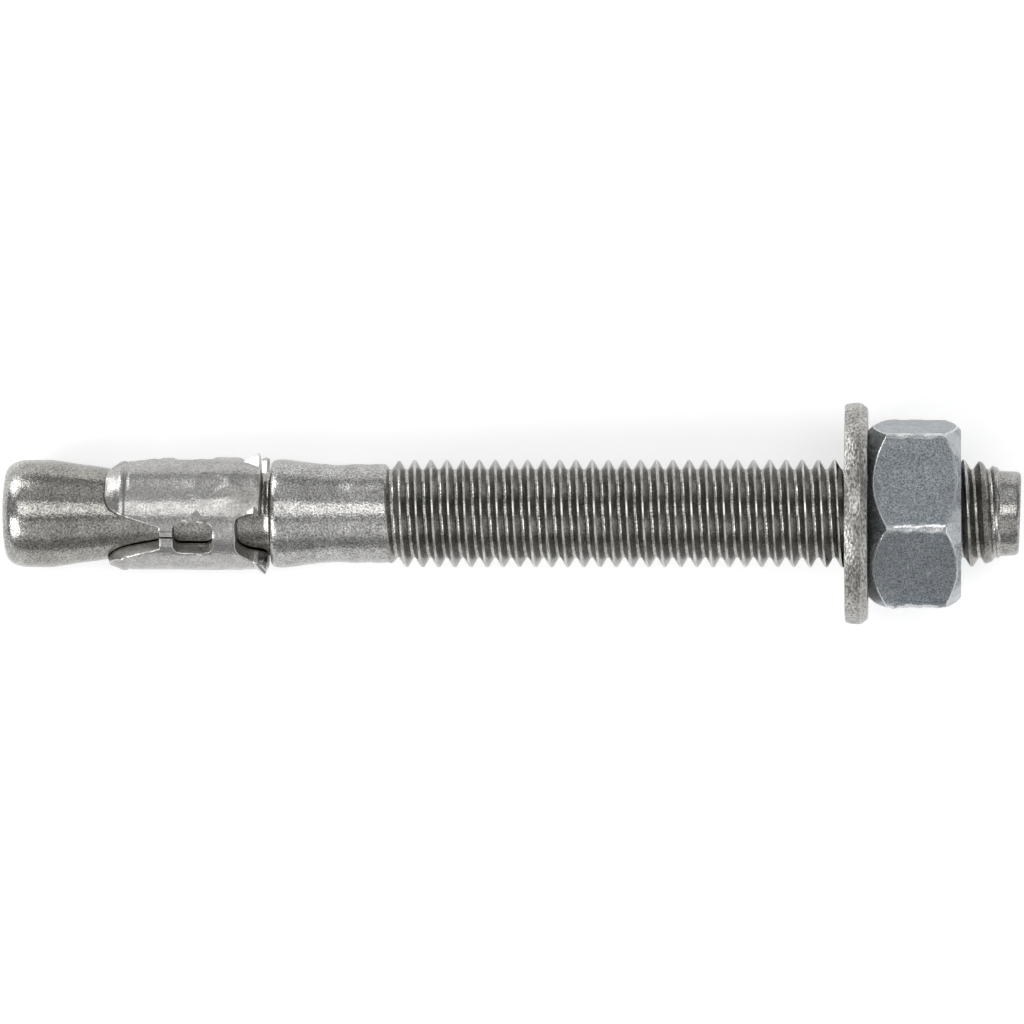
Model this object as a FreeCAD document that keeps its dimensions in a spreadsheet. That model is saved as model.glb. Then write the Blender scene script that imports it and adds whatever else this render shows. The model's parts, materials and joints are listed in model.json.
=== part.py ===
"""Wedge anchor bolt lying at rest: a stud with its expansion clip, washer and hexagon nut.

Every piece is drawn about its own Z axis, from the stud's tip towards its nut end, in millimetres.
The placements at the end lay the assembled bolt on the washer's rim and the tip, with +Z up.
"""
import FreeCAD, Part
import math
import os
import PartDesign
import Sketcher
from FreeCAD import Placement, Rotation, Vector

DIMENSIONS = [
    # Stud, measured along its axis from the tip's end face
    ("overall_length", 110.5),
    ("tip_face_diameter", 7.8),
    ("tip_dome_height", 0.25),
    ("tip_rounding_length", 2.3),
    ("land_diameter", 11.7),
    ("taper_start", 5.3),
    ("neck_diameter", 8.85),
    ("neck_start", 15.0),
    ("neck_blend", 1.6),
    ("collar_start", 29.25),
    ("collar_diameter", 11.76),
    ("collar_width", 1.6),
    ("collar_bevel", 0.45),
    ("waist_start", 36.2),
    ("waist_diameter", 10.55),
    ("shank_start", 38.2),
    ("shank_diameter", 10.73),
    ("thread_start", 41.8),
    ("thread_crest_diameter", 11.8),
    ("thread_point_length", 3.2),
    ("dog_point_diameter", 9.2),
    ("dog_point_length", 2.4),
    ("dog_point_bevel", 0.35),
    # Expansion clip, rolled from one strip round the neck
    ("clip_front", 11.1),
    ("clip_rear", 28.7),
    ("clip_wall", 1.45),
    ("clip_clearance", 0.2),
    ("clip_taper_clearance", 0.12),
    ("clip_nose_wall", 0.4),
    ("clip_rib_front", 12.7),
    ("clip_rib_width", 1.0),
    ("clip_rib_height", 0.13),
    ("clip_first_slot_angle", 27.5),
    ("clip_seam_width", 0.3),
    ("slot_mouth_width", 8.3),
    ("slot_shoulder", 12.9),
    ("slot_shoulder_width", 5.2),
    ("slot_end", 17.0),
    ("slot_end_width", 2.5),
    ("score_width", 2.2),
    ("score_web", 0.12),
    ("window_front", 18.7),
    ("window_length", 4.15),
    ("window_width", 3.55),
    ("window_corner_radius", 0.8),
    ("notch_front", 25.45),
    ("notch_width", 4.1),
    ("notch_corner_radius", 1.1),
    ("notch_mouth_width", 5.8),
    ("barb_angle", 36.0),
    ("barb_length", 2.3),
    ("barb_width", 2.4),
    ("barb_height", 1.0),
    ("barb_point_size", 0.3),
    ("barb_peak_inset", 0.8),
    # Washer and nut, set near the outer end of the thread
    ("washer_diameter", 24.0),
    ("washer_bore_diameter", 13.0),
    ("washer_thickness", 2.5),
    ("washer_chamfer_depth", 0.75),
    ("washer_chamfer_width", 0.6),
    ("nut_width", 19.0),
    ("nut_height", 10.0),
    ("nut_bore_clearance", 0.1),
    ("nut_face_diameter", 18.05),
    ("nut_seat_chamfer_depth", 2.1),
    ("nut_outer_chamfer_depth", 1.8),
    ("nut_countersink", 0.55),
    ("nut_corner_angle", 8.7),
    ("nut_washer_gap", 0.05),
    ("thread_showing", 6.55),
]

CLIP_SLOTS = 3
CUT_MARGIN = 1.0
SCORE_MARGIN = 0.3

doc = FreeCAD.newDocument("AnchorBolt")
sheet = doc.addObject("Spreadsheet::Sheet", "Sizes")
for row, (alias, value) in enumerate(DIMENSIONS, start=1):
    sheet.set("A%d" % row, alias.replace("_", " "))
    sheet.set("B%d" % row, "%g" % value)
    sheet.setAlias("B%d" % row, alias)
doc.recompute()


def size(alias):
    """The value of one cell of the sheet, as a plain number."""
    return float(getattr(sheet, alias))


def origin_part(body, role):
    """One of the body's own origin planes or axes."""
    return next(part for part in body.Origin.OriginFeatures if part.Role == role)


def new_body(name):
    body = doc.addObject("PartDesign::Body", name)
    body.Label = name
    return body


def new_sketch(body, name, role, offset=None):
    sketch = body.newObject("Sketcher::SketchObject", name)
    sketch.AttachmentSupport = [(origin_part(body, role), "")]
    sketch.MapMode = "FlatFace"
    if offset is not None:
        sketch.AttachmentOffset = offset
    return sketch


def value_of(sketch, expression):
    """The number that a sheet expression gives now, used to draw an edge at its place."""
    result = sketch.evalExpression(expression)
    return float(getattr(result, "Value", result))


def arc_edge(start, end, centre):
    """The shorter arc from start to end about centre, and whether it runs anticlockwise."""
    first = math.atan2(start.y - centre.y, start.x - centre.x)
    last = math.atan2(end.y - centre.y, end.x - centre.x)
    circle = Part.Circle(centre, Vector(0, 0, 1), (start - centre).Length)
    if (last - first) % (2 * math.pi) < math.pi:
        return Part.ArcOfCircle(circle, first, last), True
    return Part.ArcOfCircle(circle, last, first), False


def tangent_centre(touch, other, direction):
    """The centre of the circle that leaves touch along direction and meets other."""
    normal = Vector(-direction.y, direction.x, 0).normalize()
    chord = other - touch
    return touch + normal * (chord.Length ** 2 / (2 * normal.dot(chord)))


def hold(sketch, edge, point, x, y):
    """Hold one end of an edge to both of its coordinates, by dimensions bound to the sheet."""
    for kind, axis, expression in (("DistanceX", -2, x), ("DistanceY", -1, y)):
        if expression == "0":
            sketch.addConstraint(Sketcher.Constraint("PointOnObject", edge, point, axis))
            continue
        value = value_of(sketch, expression)
        number = sketch.addConstraint(Sketcher.Constraint(kind, -1, 1, edge, point, value))
        sketch.setExpression("Constraints[%d]" % number, expression)


def outline(sketch, corners):
    """A closed outline: each corner is two sheet expressions and the edge that leaves it.

    The edge is "line", "arc" (tangent to the edge before it), "arc to" (tangent to the edge
    after it) or "dome" (an arc centred on the sketch's vertical axis).
    """
    count = len(corners)
    spots = [Vector(value_of(sketch, x), value_of(sketch, y), 0) for x, y, kind in corners]
    ends = []
    for index, (x, y, kind) in enumerate(corners):
        start = spots[index]
        end = spots[(index + 1) % count]
        forward = True
        if kind == "line":
            edge = Part.LineSegment(start, end)
        elif kind == "arc":
            edge, forward = arc_edge(start, end, tangent_centre(start, end, start - spots[index - 1]))
        elif kind == "arc to":
            beyond = spots[(index + 2) % count]
            edge, forward = arc_edge(start, end, tangent_centre(end, start, beyond - end))
        else:
            rise = end.y - start.y
            middle = Vector(0, start.y + (end.x ** 2 + rise ** 2) / (2 * rise), 0)
            edge, forward = arc_edge(start, end, middle)
        sketch.addGeometry(edge, False)
        ends.append((1, 2) if forward else (2, 1))
    for index, (x, y, kind) in enumerate(corners):
        before = (index - 1) % count
        smooth = kind == "arc" or corners[before][2] == "arc to"
        joint = "Tangent" if smooth else "Coincident"
        sketch.addConstraint(Sketcher.Constraint(joint, before, ends[before][1], index, ends[index][0]))
        if kind == "dome":
            sketch.addConstraint(Sketcher.Constraint("PointOnObject", index, 3, -2))
        hold(sketch, index, ends[index][0], x, y)
    return sketch


def turned(body, kind, name, sketch):
    """A Revolution or Groove of the sketch about its vertical axis, all the way round."""
    feature = body.newObject("PartDesign::" + kind, name)
    feature.Profile = sketch
    feature.ReferenceAxis = (sketch, ["V_Axis"])
    feature.Angle = 360
    doc.recompute()
    return feature


def pocket(body, name, sketch, length=None):
    """A pocket along the sketch's normal, through everything or to a length."""
    feature = body.newObject("PartDesign::Pocket", name)
    feature.Profile = sketch
    feature.Reversed = True
    if length is None:
        feature.Type = "ThroughAll"
    else:
        feature.Type = "Length"
        feature.setExpression("Length", length)
    doc.recompute()
    return feature


def half(alias):
    """The sheet expression for half of a diameter or width."""
    return "Sizes.%s / 2" % alias


# Stud: one turned and rolled piece, from the domed tip to the dog point. Its threaded length
# is a plain cylinder over the thread's crests.
POINT_END = "Sizes.overall_length - Sizes.dog_point_length"
SLOPE = "((%s - %s) / (Sizes.neck_start - Sizes.taper_start))" % (
    half("land_diameter"), half("neck_diameter"))
BLEND_END = "Sizes.neck_start + Sizes.neck_blend * sqrt(1 + %s * %s)" % (SLOPE, SLOPE)

stud = new_body("stud")
stud_profile = outline(new_sketch(stud, "StudProfile", "XZ_Plane"), [
    ("0", "0", "dome"),
    (half("tip_face_diameter"), "Sizes.tip_dome_height", "arc to"),
    (half("land_diameter"), "Sizes.tip_rounding_length", "line"),
    (half("land_diameter"), "Sizes.taper_start", "line"),
    (half("neck_diameter") + " + Sizes.neck_blend * " + SLOPE, "Sizes.neck_start - Sizes.neck_blend", "arc"),
    (half("neck_diameter"), BLEND_END, "line"),
    (half("neck_diameter"), "Sizes.collar_start", "line"),
    (half("collar_diameter") + " - Sizes.collar_bevel", "Sizes.collar_start", "line"),
    (half("collar_diameter"), "Sizes.collar_start + Sizes.collar_bevel", "line"),
    (half("collar_diameter"), "Sizes.collar_start + Sizes.collar_width", "line"),
    (half("waist_diameter"), "Sizes.waist_start", "line"),
    (half("shank_diameter"), "Sizes.shank_start", "line"),
    (half("shank_diameter"), "Sizes.thread_start", "line"),
    (half("thread_crest_diameter"), "Sizes.thread_start", "line"),
    (half("thread_crest_diameter"), POINT_END + " - Sizes.thread_point_length", "line"),
    (half("dog_point_diameter"), POINT_END, "line"),
    (half("dog_point_diameter"), "Sizes.overall_length - Sizes.dog_point_bevel", "line"),
    (half("dog_point_diameter") + " - Sizes.dog_point_bevel", "Sizes.overall_length", "line"),
    ("0", "Sizes.overall_length", "line"),
])
turned(stud, "Revolution", "StudBlank", stud_profile)

# Expansion clip: a strip rolled round the neck, its petals flared to ride up the taper
INNER = "(%s + Sizes.clip_clearance)" % half("neck_diameter")
OUTER = "(%s + Sizes.clip_wall)" % INNER
FLARE = "(%s - (Sizes.clip_front - Sizes.taper_start) * %s + Sizes.clip_taper_clearance)" % (
    half("land_diameter"), SLOPE)
FLARE_END = "Sizes.neck_start - (Sizes.clip_clearance - Sizes.clip_taper_clearance) / %s" % SLOPE

clip = new_body("expansion_clip")
clip_profile = outline(new_sketch(clip, "ClipWall", "XZ_Plane"), [
    (FLARE, "Sizes.clip_front", "line"),
    (INNER, FLARE_END, "line"),
    (INNER, "Sizes.clip_rear", "line"),
    (OUTER, "Sizes.clip_rear", "line"),
    (OUTER, "Sizes.clip_rib_front + Sizes.clip_rib_width", "line"),
    (OUTER + " + Sizes.clip_rib_height", "Sizes.clip_rib_front + Sizes.clip_rib_width / 2", "line"),
    (OUTER, "Sizes.clip_rib_front", "line"),
    (FLARE + " + Sizes.clip_nose_wall", "Sizes.clip_front", "line"),
])
turned(clip, "Revolution", "RolledStrip", clip_profile)


def barb(name, side):
    """A raised pyramid on the rear corner at one side of the notch, its foot inside the wall."""
    feature = clip.newObject("PartDesign::AdditiveWedge", name)
    feature.AttachmentSupport = [(origin_part(clip, "XY_Plane"), "")]
    feature.MapMode = "FlatFace"
    turn = Rotation(Vector(0, 0, 1), side * size("barb_angle") - 90)
    feature.AttachmentOffset = Placement(Vector(0, 0, 0), turn)
    peak = "Sizes.clip_rear - Sizes.barb_peak_inset"
    extents = {
        "Xmin": "-" + half("barb_width"),
        "Xmax": half("barb_width"),
        "Ymin": OUTER + " - " + half("clip_wall"),
        "Ymax": OUTER + " + Sizes.barb_height",
        "Zmin": "Sizes.clip_rear - Sizes.barb_length",
        "Zmax": "Sizes.clip_rear",
        "X2min": "-" + half("barb_point_size"),
        "X2max": half("barb_point_size"),
        "Z2min": peak + " - " + half("barb_point_size"),
        "Z2max": peak + " + " + half("barb_point_size"),
    }
    for side_name, expression in extents.items():
        feature.setExpression(side_name, expression)
    doc.recompute()
    return feature


barbs = [barb("LeftBarb", -1), barb("RightBarb", 1)]

slot_sketch = outline(new_sketch(clip, "SlotOutline", "YZ_Plane"), [
    (half("slot_mouth_width"), "Sizes.clip_front", "arc to"),
    (half("slot_shoulder_width"), "Sizes.slot_shoulder", "line"),
    (half("slot_end_width"), "Sizes.slot_end", "line"),
    ("-" + half("slot_end_width"), "Sizes.slot_end", "line"),
    ("-" + half("slot_shoulder_width"), "Sizes.slot_shoulder", "arc"),
    ("-" + half("slot_mouth_width"), "Sizes.clip_front", "line"),
    ("-" + half("slot_mouth_width"), "Sizes.clip_front - %g" % CUT_MARGIN, "line"),
    (half("slot_mouth_width"), "Sizes.clip_front - %g" % CUT_MARGIN, "line"),
])
slot = pocket(clip, "PetalSlot", slot_sketch)

SCORE_DEPTH = "(Sizes.clip_wall - Sizes.score_web)"
SCORE_MOUTH = "%s * (1 + %g / %s)" % (half("score_width"), SCORE_MARGIN, SCORE_DEPTH)
score_sketch = new_sketch(clip, "ScoreSection", "XY_Plane")
score_sketch.setExpression("AttachmentOffset.Base.z", "Sizes.slot_end - %g" % SCORE_MARGIN)
outline(score_sketch, [
    (INNER + " + Sizes.score_web", "0", "line"),
    (OUTER + " + %g" % SCORE_MARGIN, "-" + SCORE_MOUTH, "line"),
    (OUTER + " + %g" % SCORE_MARGIN, SCORE_MOUTH, "line"),
])
score = pocket(clip, "ScoreLine", score_sketch,
               "Sizes.window_front - Sizes.slot_end + %g" % (2 * SCORE_MARGIN))

WINDOW_END = "Sizes.window_front + Sizes.window_length"
WINDOW_SIDE = half("window_width")
WINDOW_FLAT = "(%s - Sizes.window_corner_radius)" % WINDOW_SIDE
window_sketch = outline(new_sketch(clip, "WindowOutline", "YZ_Plane"), [
    ("-" + WINDOW_FLAT, "Sizes.window_front", "line"),
    (WINDOW_FLAT, "Sizes.window_front", "arc"),
    (WINDOW_SIDE, "Sizes.window_front + Sizes.window_corner_radius", "line"),
    (WINDOW_SIDE, WINDOW_END + " - Sizes.window_corner_radius", "arc"),
    (WINDOW_FLAT, WINDOW_END, "line"),
    ("-" + WINDOW_FLAT, WINDOW_END, "arc"),
    ("-" + WINDOW_SIDE, WINDOW_END + " - Sizes.window_corner_radius", "line"),
    ("-" + WINDOW_SIDE, "Sizes.window_front + Sizes.window_corner_radius", "arc"),
])
window = pocket(clip, "Window", window_sketch)

NOTCH_SIDE = half("notch_width")
NOTCH_FLAT = "(%s - Sizes.notch_corner_radius)" % NOTCH_SIDE
NOTCH_CORNER = "Sizes.notch_front + Sizes.notch_corner_radius"
notch_sketch = outline(new_sketch(clip, "NotchOutline", "YZ_Plane"), [
    ("-" + NOTCH_FLAT, "Sizes.notch_front", "line"),
    (NOTCH_FLAT, "Sizes.notch_front", "arc"),
    (NOTCH_SIDE, NOTCH_CORNER, "line"),
    (half("notch_mouth_width"), "Sizes.clip_rear", "line"),
    (half("notch_mouth_width"), "Sizes.clip_rear + %g" % CUT_MARGIN, "line"),
    ("-" + half("notch_mouth_width"), "Sizes.clip_rear + %g" % CUT_MARGIN, "line"),
    ("-" + half("notch_mouth_width"), "Sizes.clip_rear", "line"),
    ("-" + NOTCH_SIDE, NOTCH_CORNER, "arc to"),
])
notch = pocket(clip, "RearNotch", notch_sketch)

segments = clip.newObject("PartDesign::PolarPattern", "Segments")
segments.Originals = barbs + [slot, score, window, notch]
segments.Axis = (origin_part(clip, "Z_Axis"), [""])
segments.Angle = 360
segments.Occurrences = CLIP_SLOTS
clip.Tip = segments
doc.recompute()

# The strip's two ends meet in a narrow open seam along one of the slot lines
seam_turn = Placement(Vector(0, 0, 0), Rotation(Vector(0, 1, 0), 360 / CLIP_SLOTS))
seam_sketch = outline(new_sketch(clip, "SeamOutline", "YZ_Plane", seam_turn), [
    ("-" + half("clip_seam_width"), "Sizes.clip_front - %g" % CUT_MARGIN, "line"),
    (half("clip_seam_width"), "Sizes.clip_front - %g" % CUT_MARGIN, "line"),
    (half("clip_seam_width"), "Sizes.clip_rear + %g" % CUT_MARGIN, "line"),
    ("-" + half("clip_seam_width"), "Sizes.clip_rear + %g" % CUT_MARGIN, "line"),
])
pocket(clip, "Seam", seam_sketch)

# Washer: flat ring, chamfered on the face that meets the nut
washer = new_body("washer")
washer_profile = outline(new_sketch(washer, "WasherSection", "XZ_Plane"), [
    (half("washer_bore_diameter"), "0", "line"),
    (half("washer_diameter"), "0", "line"),
    (half("washer_diameter"), "Sizes.washer_thickness - Sizes.washer_chamfer_depth", "line"),
    (half("washer_diameter") + " - Sizes.washer_chamfer_width", "Sizes.washer_thickness", "line"),
    (half("washer_bore_diameter"), "Sizes.washer_thickness", "line"),
])
turned(washer, "Revolution", "WasherRing", washer_profile)

# Nut: hexagon with both ends chamfered, bored to run over the thread's crests
CORNER = "(Sizes.nut_width / sqrt(3))"
HALF_CORNER = "(Sizes.nut_width / sqrt(12))"
BORE = "(%s + Sizes.nut_bore_clearance)" % half("thread_crest_diameter")

nut = new_body("hex_nut")
hexagon = outline(new_sketch(nut, "NutHexagon", "XY_Plane"), [
    (CORNER, "0", "line"),
    (HALF_CORNER, half("nut_width"), "line"),
    ("-" + HALF_CORNER, half("nut_width"), "line"),
    ("-" + CORNER, "0", "line"),
    ("-" + HALF_CORNER, "-" + half("nut_width"), "line"),
    (HALF_CORNER, "-" + half("nut_width"), "line"),
])
nut_blank = nut.newObject("PartDesign::Pad", "NutBlank")
nut_blank.Profile = hexagon
nut_blank.setExpression("Length", "Sizes.nut_height")
doc.recompute()

CHAMFER_REACH = "(%s + %g)" % (CORNER, CUT_MARGIN)
CHAMFER_SCALE = "(%s - %s) / (%s - %s)" % (
    CHAMFER_REACH, half("nut_face_diameter"), CORNER, half("nut_face_diameter"))
outer_chamfer = outline(new_sketch(nut, "OuterChamferSection", "XZ_Plane"), [
    (half("nut_face_diameter"), "Sizes.nut_height", "line"),
    (CHAMFER_REACH, "Sizes.nut_height - Sizes.nut_outer_chamfer_depth * " + CHAMFER_SCALE, "line"),
    (CHAMFER_REACH, "Sizes.nut_height", "line"),
])
turned(nut, "Groove", "OuterChamfer", outer_chamfer)
seat_chamfer = outline(new_sketch(nut, "SeatChamferSection", "XZ_Plane"), [
    (half("nut_face_diameter"), "0", "line"),
    (CHAMFER_REACH, "0", "line"),
    (CHAMFER_REACH, "Sizes.nut_seat_chamfer_depth * " + CHAMFER_SCALE, "line"),
])
turned(nut, "Groove", "SeatChamfer", seat_chamfer)
BORE_MOUTH = "%s + Sizes.nut_countersink + %g" % (BORE, CUT_MARGIN)
bore_profile = outline(new_sketch(nut, "BoreSection", "XZ_Plane"), [
    ("0", "-%g" % CUT_MARGIN, "line"),
    (BORE_MOUTH, "-%g" % CUT_MARGIN, "line"),
    (BORE, "Sizes.nut_countersink", "line"),
    (BORE, "Sizes.nut_height - Sizes.nut_countersink", "line"),
    (BORE_MOUTH, "Sizes.nut_height + %g" % CUT_MARGIN, "line"),
    ("0", "Sizes.nut_height + %g" % CUT_MARGIN, "line"),
])
turned(nut, "Groove", "Bore", bore_profile)

# Rest: the bolt lies on the washer's rim and on the edge of the tip's land
nut_seat = size("overall_length") - size("thread_showing") - size("nut_height")
washer_face = nut_seat - size("nut_washer_gap") - size("washer_thickness")
rim_drop = (size("washer_diameter") - size("land_diameter")) / 2
tilt = math.atan2(rim_drop, washer_face - size("tip_rounding_length"))
along = Vector(math.cos(tilt), 0, math.sin(tilt))
upward = Vector(-math.sin(tilt), 0, math.cos(tilt))
lying = Rotation(upward, Vector(0, -1, 0), along, "ZXY")
pieces = [
    (stud, 0, 0),
    (clip, 0, size("clip_first_slot_angle")),
    (washer, washer_face, 0),
    (nut, nut_seat, size("nut_corner_angle")),
]
tip_height = size("washer_diameter") / 2 * math.cos(tilt) - washer_face * math.sin(tilt)
end_reach = size("overall_length") * math.cos(tilt) + size("dog_point_diameter") / 2 * math.sin(tilt)
rest = Placement(Vector(-end_reach / 2, 0, tip_height), lying)
for body, height, angle in pieces:
    body.Placement = rest * Placement(Vector(0, 0, height), Rotation(Vector(0, 0, 1), angle))
doc.recompute()

for item in doc.Objects:
    if "Invalid" in item.State or "Error" in item.State:
        raise RuntimeError("%s has failed: %s" % (item.Label, item.State))
for body, height, angle in pieces:
    if body.Shape.isNull() or not body.Shape.isValid() or len(body.Shape.Solids) != 1:
        raise RuntimeError("%s isn't one valid solid" % body.Label)

os.makedirs("parts", exist_ok=True)
for body, height, angle in pieces:
    body.Shape.exportStep(os.path.join("parts", body.Label + ".step"))
    print("%-16s %10.2f mm3" % (body.Label, body.Shape.Volume))
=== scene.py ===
"""Anchor bolt: stud, expansion clip, washer and hex nut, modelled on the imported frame."""

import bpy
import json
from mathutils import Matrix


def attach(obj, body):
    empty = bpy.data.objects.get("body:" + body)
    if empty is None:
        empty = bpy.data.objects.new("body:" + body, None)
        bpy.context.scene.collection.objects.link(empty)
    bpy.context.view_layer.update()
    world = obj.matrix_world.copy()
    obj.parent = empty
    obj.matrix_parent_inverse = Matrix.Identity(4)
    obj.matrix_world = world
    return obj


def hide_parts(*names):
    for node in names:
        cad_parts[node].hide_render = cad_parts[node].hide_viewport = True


bl_info = {
    "name": "Anchor Bolt",
    "version": (1, 0, 0),
    "blender": (4, 5, 0),
    "location": "3D View > Sidebar > Anchor Bolt",
    "description": "Models the stud, expansion clip, washer and nut of an anchor bolt on its packed frame",
    "category": "Object",
}

import json
from math import atan2, cos, degrees, hypot, pi, radians, sin, tan

import bmesh
import bpy
from bpy.props import FloatProperty, FloatVectorProperty, IntProperty, PointerProperty
from bpy.types import Operator, Panel, PropertyGroup
from mathutils import Matrix, Vector, noise

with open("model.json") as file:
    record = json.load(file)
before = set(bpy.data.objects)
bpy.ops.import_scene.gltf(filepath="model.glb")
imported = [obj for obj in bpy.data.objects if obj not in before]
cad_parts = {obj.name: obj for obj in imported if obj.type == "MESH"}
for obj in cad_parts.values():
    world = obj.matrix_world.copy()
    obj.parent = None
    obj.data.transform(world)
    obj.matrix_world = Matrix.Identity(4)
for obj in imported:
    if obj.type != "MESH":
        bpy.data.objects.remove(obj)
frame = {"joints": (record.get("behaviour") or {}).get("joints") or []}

MM = 0.001
TOUCHING = 1e-4
SEAM_GAP = 0.01
ON_COLUMN = 0.01
CUT_SLACK = 0.004
ROUNDING_STEPS = 3

# Radius at which an angle round the bolt is turned into a length.
SURFACE_RADIUS = 6

# The bolt is modelled upright, in millimetres from the tip of the stud along its axis.
# X faces the camera, and angles turn from there towards the photograph's lower edge.
NUT_SEAT = 93.95
nut_thread = next(joint for joint in frame["joints"] if joint["name"] == "nut_turn")
ALONG = Vector(nut_thread["axis"]).normalized()
UPWARD = Vector((-ALONG.z, 0, ALONG.x))
ACROSS = ALONG.cross(UPWARD)
TIP = Vector(nut_thread["pos_m"]) - ALONG * NUT_SEAT * MM
TURNED = Matrix((UPWARD, ACROSS, ALONG)).transposed().to_4x4()
LAID_DOWN = Matrix.Translation(TIP) @ TURNED @ Matrix.Scale(MM, 4)
TILT = atan2(ALONG.z, ALONG.x)


# Turned shapes


def in_mm(metres):
    return metres / MM


def between(table, place):
    """Reads a table of (place, value) rows, with straight runs between them."""
    if place <= table[0][0]:
        return table[0][1]
    for (low, first), (high, second) in zip(table, table[1:]):
        if place <= high:
            return first + (second - first) * (place - low) / (high - low)
    return table[-1][1]


def eased(low, high, place):
    share = min(max((place - low) / (high - low), 0), 1)
    return share * share * (3 - 2 * share)


def unevenness(angle, s, size, seed):
    """A smooth random value between -1 and 1 at a place on a round surface."""
    across = (cos(angle) * SURFACE_RADIUS / size, sin(angle) * SURFACE_RADIUS / size)
    return noise.noise(Vector((*across, s / size + seed)))


def angle_of(vert):
    return atan2(vert.co.y, vert.co.x) % (2 * pi)


def radius_of(vert):
    return hypot(vert.co.x, vert.co.y)


def innermost(part):
    """Distance from the axis to the nearest corner of an edge or a face."""
    return min(radius_of(vert) for vert in part.verts)


def set_radius(vert, radius):
    present = radius_of(vert)
    vert.co.x *= radius / present
    vert.co.y *= radius / present


def lay_wire(mesh, points):
    """A row of points, each its radius and place along the axis, joined by edges."""
    verts = [mesh.verts.new((radius, 0, s)) for radius, s in points]
    edges = [mesh.edges.new(pair) for pair in zip(verts, verts[1:])]
    return verts + edges


def turn_profile(mesh, points, steps):
    """Turns a closed outline round the axis."""
    outline = lay_wire(mesh, [*points, points[0]])
    bmesh.ops.spin(mesh, geom=outline, axis=(0, 0, 1), angle=2 * pi, steps=steps, use_merge=True)
    bmesh.ops.remove_doubles(mesh, verts=mesh.verts, dist=TOUCHING)


def wind_thread(mesh, low, high, first_crest, pitch, steps):
    """A shell of one thread pitch per turn, its rows of points following the helix."""
    row = [step * pitch for step in THREAD_ROWS]
    turns = range(int((low - first_crest) / pitch) - 2, int((high - first_crest) / pitch) + 2)
    places = [first_crest + turn * pitch + step for turn in turns for step in row]
    wire = lay_wire(mesh, [(SURFACE_RADIUS, s) for s in places])
    rise = (0, 0, pitch / steps)
    bmesh.ops.spin(mesh, geom=wire, axis=(0, 0, 1), dvec=rise, angle=2 * pi, steps=steps)
    bmesh.ops.remove_doubles(mesh, verts=mesh.verts, dist=SEAM_GAP)
    for s, keep in ((low, 1), (high, -1)):
        parts = [*mesh.verts, *mesh.edges, *mesh.faces]
        bmesh.ops.bisect_plane(
            mesh, geom=parts, dist=TOUCHING, plane_co=(0, 0, s), plane_no=(0, 0, -keep), clear_outer=True
        )
        tidy_cut(mesh, s, steps)


def tidy_cut(mesh, s, steps):
    """Draws the points that a cut left between two columns of the shell to the nearer column."""
    cut = [vert for vert in mesh.verts if abs(vert.co.z - s) < 10 * TOUCHING]
    columns, strays = {}, []
    for vert in cut:
        column = angle_of(vert) / (2 * pi) * steps
        if abs(column - round(column)) < ON_COLUMN:
            columns[round(column) % steps] = vert
        else:
            strays.append((vert, round(column) % steps))
    bmesh.ops.weld_verts(mesh, targetmap={vert: columns[column] for vert, column in strays})


def ring_at(mesh, s):
    """The open edges of the shell at a place along the axis."""
    return [
        edge
        for edge in mesh.edges
        if edge.is_boundary and all(abs(vert.co.z - s) < SEAM_GAP for vert in edge.verts)
    ]


def draw_ring(mesh, ring, radius, s):
    """Draws a ring of edges on to its next radius and place along the axis."""
    drawn = bmesh.ops.extrude_edge_only(mesh, edges=ring)["geom"]
    for vert in drawn:
        if isinstance(vert, bmesh.types.BMVert):
            set_radius(vert, radius)
            vert.co.z = s
    return [edge for edge in drawn if isinstance(edge, bmesh.types.BMEdge) and edge.is_boundary]


def close_ring(mesh, ring, s):
    """Closes the last ring at a point on the axis."""
    drawn = bmesh.ops.extrude_edge_only(mesh, edges=ring)["geom"]
    verts = [vert for vert in drawn if isinstance(vert, bmesh.types.BMVert)]
    bmesh.ops.pointmerge(mesh, verts=verts, merge_co=(0, 0, s))


def round_edges(mesh, edges, offset):
    """Rounds edges and marks the new faces as worn, for the material."""
    wear_and_sheen = mesh.faces.layers.float.get("wear_and_sheen") or mesh.faces.layers.float.new("wear_and_sheen")
    rounded = bmesh.ops.bevel(
        mesh,
        geom=edges,
        offset=offset,
        segments=ROUNDING_STEPS,
        profile=0.5,
        affect="EDGES",
        material=-1,
        clamp_overlap=True,
    )
    for face in rounded["faces"]:
        face[wear_and_sheen] = 1


def cut_faces(mesh, faces, place, normal):
    """Cuts some faces along a plane, and keeps both sides."""
    parts = {part for face in faces for part in (*face.verts, *face.edges)} | set(faces)
    bmesh.ops.bisect_plane(mesh, geom=list(parts), dist=CUT_SLACK, plane_co=place, plane_no=normal)


def steep_edges(mesh, angle):
    return [edge for edge in mesh.edges if edge.is_manifold and edge.calc_face_angle() > radians(angle)]


def roughen_edges(mesh, amount, size, seed):
    """Makes the rounded edges a little uneven, as knocks leave them, and keeps the faces beside flat."""
    wear_and_sheen = mesh.faces.layers.float["wear_and_sheen"]
    for vert in {vert for face in mesh.faces if face[wear_and_sheen] for vert in face.verts}:
        angle, s = angle_of(vert), vert.co.z
        move = amount * Vector([unevenness(angle, s, size, seed + axis) for axis in range(3)])
        for face in vert.link_faces:
            if not face[wear_and_sheen]:
                move -= face.normal * move.dot(face.normal)
        vert.co += move


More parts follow.
